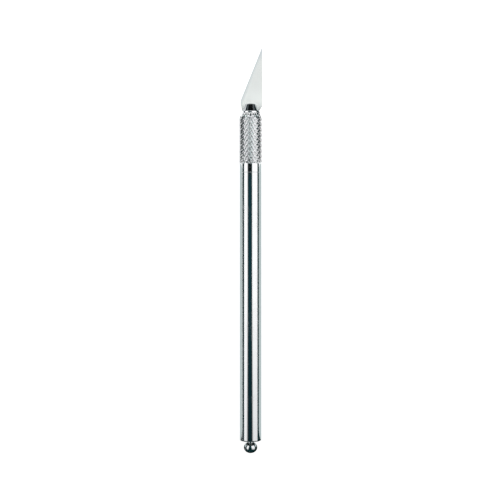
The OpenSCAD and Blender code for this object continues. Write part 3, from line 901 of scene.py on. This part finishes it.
class KNIFE_OT_bearing(KnifePiece, bpy.types.Operator):
    """Turns the rear bush, bends the retaining ring and sets the key pin"""
    bl_idname = "craft_knife.bearing"
    bl_label = "Bush, ring and key pin"

    def build(self, sizes, finish):
        self.bush(finish)
        self.ring(finish)
        self.key_pin()

    def bush(self, finish):
        """Bearing of the knob, with chamfered ends."""
        rear, front = BUSH_REAR, BUSH_FRONT
        bore, outside, chamfer = 1.15, 2.09, 0.2
        face = outside - chamfer
        corners = [
            (rear, bore, 0.08), (rear, face, 0.04), (rear + chamfer, outside, 0.04),
            (front - chamfer, outside, 0.04), (front, face, 0.04), (front, bore, 0.08)]
        metal = turned_metal("turned_brass", finish.brass, 0.24, lines=7000.0, groove=0.12)
        piece = turned_piece("brass_bush", corners, metal, longest=2.0)
        fit(piece, "handle", "rear_bush")

    def ring(self, finish):
        """Open ring of spring wire with a rounded rectangular section."""
        rear, front = RING_REAR, RING_FRONT
        inside, outside = 0.87, 1.75
        section = rounded([(rear, inside, 0.05), (rear, outside, 0.08), (front, outside, 0.08),
                           (front, inside, 0.05)], closed=True)
        half_open, steps = math.radians(35), 72
        mesh = bmesh.new()
        loops = []
        for k in range(steps + 1):
            angle = math.pi + half_open + (math.tau - 2 * half_open) * k / steps
            loops.append([mesh.verts.new(on_axis(place, radius, angle)) for place, radius in section])
        for one, two in zip(loops, loops[1:]):
            bridge(mesh, one, two)
        mesh.faces.new(loops[0])
        mesh.faces.new(loops[-1])
        metal = turned_metal("blued_spring_steel", finish.spring_steel, 0.22, lines=9000.0, groove=0.06)
        piece = make_piece("spring_ring", mesh, metal)
        fit(piece, "knob", "retaining_ring")

    def key_pin(self):
        """Dowel across the spigot, with rounded ends."""
        low, high = PIN_LOW.z - AXIS_Z, PIN_HIGH.z - AXIS_Z
        middle = (PIN_LOW.y + PIN_HIGH.y) / 2
        radius = (PIN_HIGH.x - PIN_LOW.x) / 2 / MM
        outline = rounded([(low / MM, 0.0, 0), (low / MM, radius, 0.08), (high / MM, radius, 0.08),
                           (high / MM, 0.0, 0)])
        mesh = bmesh.new()
        turn(mesh, outline, even_angles(48))
        for vert in mesh.verts:
            x, along, up = vert.co.x, vert.co.y - SEAM_Y, vert.co.z - AXIS_Z
            vert.co = (x, middle + up, AXIS_Z + along)
        piece = make_piece("key_dowel", mesh, bpy.data.materials["drawn_rod_steel"])
        fit(piece, "handle", "key_pin")


class KNIFE_OT_stage(bpy.types.Operator):
    """Sets the floor, the softboxes, the cards, the world and the camera"""
    bl_idname = "craft_knife.stage"
    bl_label = "Stage"
    bl_options = {"REGISTER", "UNDO"}

    def execute(self, context):
        scene = context.scene
        stage = scene.knife_stage
        self.floor(stage)
        self.lights(stage)
        self.world(scene)
        self.camera(scene, stage)
        scene.view_settings.view_transform = "Standard"
        return {"FINISHED"}

    def floor(self, stage):
        """Wide white floor that sweeps up into a low round backdrop."""
        bend, reach, height, steps = 0.25, 3.0, 0.42, 96
        profile = [(0.0, 0.0), (0.3, 0.0), (1.0, 0.0), (reach - bend, 0.0)]
        profile += [(reach - bend + bend * math.sin(t), bend - bend * math.cos(t))
                    for t in (math.pi / 2 * k / 10 for k in range(1, 11))]
        profile.append((reach, height))
        mesh = bmesh.new()
        rings = []
        for radius, up in profile:
            if radius == 0:
                rings.append([mesh.verts.new((0, 0, up))] * steps)
            else:
                rings.append([mesh.verts.new((radius * math.cos(a), radius * math.sin(a), up))
                              for a in even_angles(steps)])
        for one, two in zip(rings, rings[1:]):
            for k in range(steps):
                corners = (one[k], two[k], two[(k + 1) % steps], one[(k + 1) % steps])
                mesh.faces.new(list(dict.fromkeys(corners)))
        data = to_data("studio_sweep", mesh)
        material, n = self.empty_material("studio_white")
        path = n.add("ShaderNodeLightPath").outputs
        seen = n.math("MAXIMUM", path["Is Camera Ray"],
                      n.math("MAXIMUM", path["Is Glossy Ray"], path["Is Transmission Ray"]))
        glow = n.add("ShaderNodeEmission", {"Strength": n.math("MULTIPLY", seen, stage.floor_white)})
        paint = n.add("ShaderNodeBsdfDiffuse", {"Color": (0.6, 0.6, 0.6, 1.0)})
        both = n.add("ShaderNodeAddShader", {0: glow.outputs[0], 1: paint.outputs[0]})
        n.add("ShaderNodeOutputMaterial", {"Surface": both.outputs[0]})
        data.materials.append(material)
        floor = to_scene("studio_sweep", data)

    def empty_material(self, name):
        """Material without a shader, and the tools for its nodes."""
        material = bpy.data.materials.new(name)
        material.use_nodes = True
        material.node_tree.nodes.clear()
        return material, Nodes(material.node_tree)

    def card(self, name, corners, light, tint=(1.0, 1.0, 1.0), fade=(0.0, 0.0), rear=None, glossy_only=False):
        """Flat card that gives light or, with a light near 0, keeps it out of the reflections.

        The first two corners are its upper edge, from the rear to the front; fade gives the share of its height
        over which the light grows at the upper and the lower edge. Rear gives what changes towards the rear: the
        shares of the length where that ends and begins, the upper fade there, and the share of the light."""
        data = bpy.data.meshes.new(name)
        data.from_pydata(corners, [], [(0, 1, 2, 3)])
        layer = data.uv_layers.new(name="UVMap")
        for loop, spot in zip(layer.data, ((0, 0), (1, 0), (1, 1), (0, 1))):
            loop.uv = spot
        material, n = self.empty_material(name)
        along, down = n.add("ShaderNodeSeparateXYZ", {0: n.add("ShaderNodeTexCoord").outputs["UV"]}).outputs[:2]
        upper, power = max(fade[0], 1e-4), light
        if rear:
            upper = n.ramp(along, rear[0], rear[1], rear[2], upper)
            power = n.ramp(along, rear[0], rear[1], rear[3] * light, light)
        grow = n.ramp(down, 0.0, upper, smooth=True)
        drop = n.ramp(down, 1.0 - max(fade[1], 1e-4), 1.0, 1.0, 0.0, smooth=True)
        strength = n.math("MULTIPLY", n.math("MULTIPLY", grow, drop), power)
        glow = n.add("ShaderNodeEmission", {"Color": tint + (1.0,), "Strength": strength})
        n.add("ShaderNodeOutputMaterial", {"Surface": glow.outputs[0]})
        data.materials.append(material)
        made = to_scene(name, data)
        made.visible_camera = False
        made.visible_shadow = False
        made.visible_transmission = False
        if glossy_only:
            made.visible_diffuse = False

    def level_card(self, name, x, y, up, light, tint):
        """Level card at a height that shows only in the metal."""
        self.card(name, [(x[0], y[1], up), (x[1], y[1], up), (x[1], y[0], up), (x[0], y[0], up)], light, tint,
                  glossy_only=True)

    def softbox(self, name, light, angles, fade, rear_fade, rear_light):
        """Long light beside the knife, between two angles in degrees from straight up, that dims to the rear."""
        reach, back, front = 0.5, -0.30, 0.45
        dim_from, dim_to = -0.03, -0.15
        top, foot = (Vector((reach * math.sin(a), 0, reach * math.cos(a))) for a in map(math.radians, angles))
        corners = [top + Vector((0, back, 0)), top + Vector((0, front, 0)),
                   foot + Vector((0, front, 0)), foot + Vector((0, back, 0))]
        ends, begins = ((place - back) / (front - back) for place in (dim_to, dim_from))
        self.card(name, corners, light, fade=fade, rear=(ends, begins, rear_fade, rear_light))

    def lights(self, stage):
        """Two softboxes along the knife, cards and shades above it, and grey and dark cards close around it."""
        self.softbox("softbox_left", stage.softbox_light, (-26.0, -80.0), (0.24, 0.02), 0.44, 0.83)
        self.softbox("softbox_right", stage.softbox_light, (13.3, 78.0), (0.12, 0.02), 0.34, 0.72)
        shade_light, ceiling_light, card_light, strip_light = 0.006, 0.046, 0.015, 0.035
        overhead, white, pale, black = 0.06, (1.0, 1.0, 1.0), (0.84, 1.0, 0.97), (0.6, 0.9, 1.0)
        for name, x, y, light, tint in (
                ("blade_card", (-0.048, 0.030), (0.055, 0.096), stage.blade_light, white),
                ("blade_card_rear", (-0.012, 0.012), (0.0495, 0.055), 1.08, white),
                ("sleeve_card_left", (-0.030, 0.003), (0.033, 0.0455), 0.70, pale),
                ("sleeve_card_right", (0.003, 0.0185), (0.033, 0.0455), 1.15, pale),
                ("band_shade", (-0.026, 0.0105), (0.0262, 0.0312), shade_light, black),
                ("collet_shade", (-0.065, 0.065), (0.097, 0.160), shade_light, black)):
            self.level_card(name, x, y, overhead, light, tint)
        ceiling, left, right, back, front = 0.48, -0.32, 0.16, -0.4, 0.6
        self.card("ceiling", [(left, back, ceiling), (left, front, ceiling), (right, front, ceiling),
                              (right, back, ceiling)], ceiling_light, (0.13, 0.78, 1.0),
                  rear=(0.25, 0.37, 1e-4, 0.45), glossy_only=True)
        side, end, on_floor, grey, dark = 0.030, 0.100, 0.0002, (0.88, 1.0, 1.0), (0.2, 0.9, 1.0)
        for name, x, y, light, tint in (
                ("grey_card_left", (-0.001, -side), (-0.0568, 0.026), stage.edge_grey, grey),
                ("grey_card_right", (0.001, side), (-0.0568, 0.026), stage.edge_grey, grey),
                ("dark_card_rear", (-side, side), (-end, -0.0569), card_light, dark),
                ("dark_card_nose", (0.0045, side), (0.041, 0.07), card_light, dark)):
            self.level_card(name, x, y, on_floor, light, tint)
        for name, one, two, low, high in (("dark_strip_left", (-side, -end), (-side, end), 0.0011, 0.0144),
                                          ("dark_strip_right", (side, -end), (side, end), 0.0, 0.0105),
                                          ("dark_strip_front", (-side, end), (side, end), 0.0, 0.0105),
                                          ("dark_strip_rear", (-0.045, -end), (0.045, -end), 0.0, 0.065)):
            self.card(name, [one + (high,), two + (high,), two + (low,), one + (low,)], strip_light, dark,
                      glossy_only=True)

    def world(self, scene):
        """Plain grey room around the stage."""
        world = bpy.data.worlds.new("grey_room")
        world.use_nodes = True
        grey = (0.175, 0.19, 0.192, 1.0)
        back = world.node_tree.nodes["Background"]
        back.inputs["Color"].default_value = grey
        back.inputs["Strength"].default_value = 1.0
        scene.world = world

    def camera(self, scene, stage):
        """Camera straight above the knife."""
        data = bpy.data.cameras.new("picture_camera")
        data.sensor_fit = "HORIZONTAL"
        data.sensor_width = 36.0
        data.lens = data.sensor_width * (stage.camera_height - AXIS_Z) / stage.picture_width
        data.clip_start = 0.01
        data.clip_end = 20.0
        middle_x, middle_y = -0.000177, 0.000015
        camera = to_scene("picture_camera", data)
        camera.location = (middle_x, middle_y, stage.camera_height)
        scene.camera = camera


class KNIFE_PT_panel(bpy.types.Panel):
    """Sidebar panel with the sizes, the finishes and one button for each piece"""
    bl_idname = "KNIFE_PT_panel"
    bl_label = "Craft Knife"
    bl_space_type = "VIEW_3D"
    bl_region_type = "UI"
    bl_category = "Craft Knife"

    def draw(self, context):
        for name, group in GROUPS.items():
            area = self.layout.box()
            for key in group.__annotations__:
                area.prop(getattr(context.scene, name), key)
        for operator in OPERATORS:
            self.layout.operator(operator.bl_idname)


OPERATORS = (KNIFE_OT_barrel, KNIFE_OT_sleeve, KNIFE_OT_collet, KNIFE_OT_blade, KNIFE_OT_knob,
             KNIFE_OT_draw_rod, KNIFE_OT_bearing, KNIFE_OT_stage)
GROUPS = {"knife_sizes": KnifeSizes, "knife_finish": KnifeFinish, "knife_stage": KnifeStage}


def register():
    """Registers the property groups, the operators and the panel."""
    for name, group in GROUPS.items():
        bpy.utils.register_class(group)
        setattr(bpy.types.Scene, name, bpy.props.PointerProperty(type=group))
    for kind in OPERATORS + (KNIFE_PT_panel,):
        bpy.utils.register_class(kind)


def unregister():
    """Takes them out again."""
    for kind in reversed(OPERATORS + (KNIFE_PT_panel,)):
        bpy.utils.unregister_class(kind)
    for name, group in GROUPS.items():
        delattr(bpy.types.Scene, name)
        bpy.utils.unregister_class(group)


def main():
    """Builds every piece and the stage."""
    register()
    for operator in OPERATORS:
        family, name = operator.bl_idname.split(".")
        getattr(getattr(bpy.ops, family), name)()


if __name__ == "__main__":
    main()
